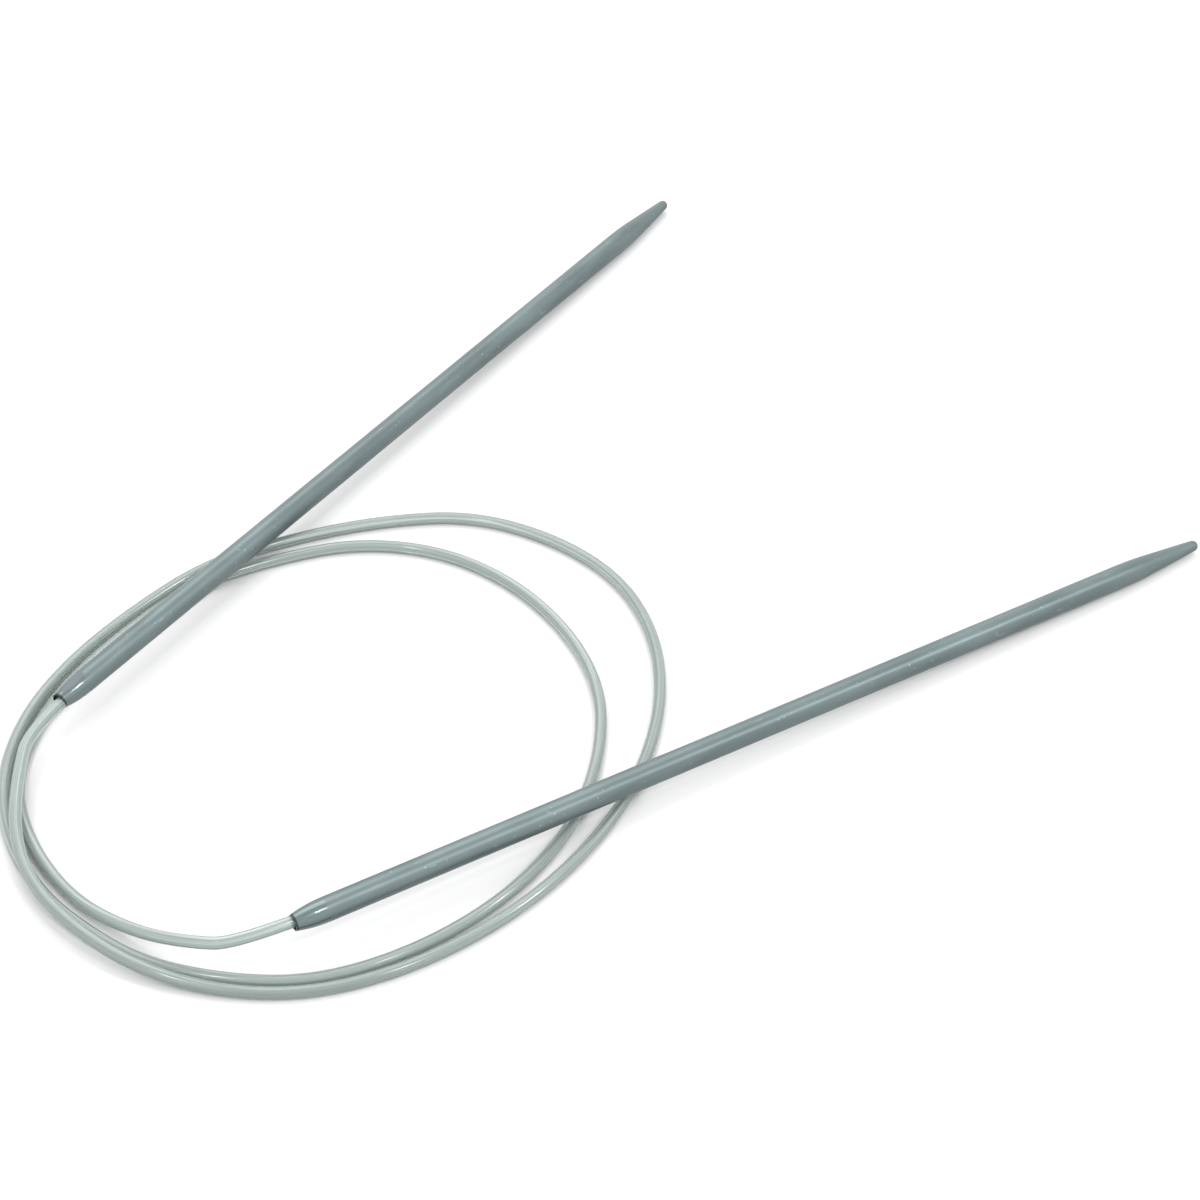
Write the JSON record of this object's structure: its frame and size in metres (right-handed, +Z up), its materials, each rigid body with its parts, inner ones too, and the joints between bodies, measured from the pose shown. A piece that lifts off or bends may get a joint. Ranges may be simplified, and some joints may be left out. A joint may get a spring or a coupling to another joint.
{
  "type": "circular knitting needle",
  "caption": "Circular knitting needle: straight pointed metal tips on the ends of one thin clear cord lying in loose coils, for knitting in the round",
  "frame": {"origin": "on the surface that the needle lies on, under the middle of the box round the two tips", "axes": "+Z up; +Y away from the front of the coil; +X to the right, towards the points; the coil is on the left"},
  "size_m": [0.1493, 0.1482, 0.0065],
  "materials": {
    "tip_metal": "satin grey lacquer over turned aluminium",
    "cord": "clear pale nylon monofilament, smooth and glossy",
    "bond": "cured epoxy, hidden in the sockets"
  },
  "bodies": {
    "coil": {"cord_loop": "cord"},
    "lead_a": {"cord_bend_a": "cord"},
    "lead_b": {"cord_bend_b": "cord"},
    "tip_a": {"needle_tip_a": "tip_metal", "socket_bond_a": "bond", "cord_neck_a": "cord"},
    "tip_b": {"needle_tip_b": "tip_metal", "socket_bond_b": "bond", "cord_neck_b": "cord"}
  },
  "joints": [
    {"name": "lift_a", "type": "hinge", "parent": "coil", "child": "lead_a", "pos_m": [-0.0575, -0.0736, 0.0017], "axis": [0.9659, -0.2588, 0], "range_deg": [0, 50], "deforming": ["cord_bend_a"]},
    {"name": "swing_a", "type": "hinge", "parent": "lead_a", "child": "tip_a", "pos_m": [-0.075, -0.049, 0.0034], "axis": [0, 0, 1], "range_deg": [-8, 40], "deforming": ["cord_neck_a"]},
    {"name": "lift_b", "type": "hinge", "parent": "coil", "child": "lead_b", "pos_m": [-0.07, -0.0582, 0.00075], "axis": [0.2588, -0.9659, 0], "range_deg": [0, 50], "deforming": ["cord_bend_b"]},
    {"name": "swing_b", "type": "hinge", "parent": "lead_b", "child": "tip_b", "pos_m": [-0.0535, -0.0714, 0.0028], "axis": [0, 0, 1], "range_deg": [-35, 8], "deforming": ["cord_neck_b"]}
  ]
}
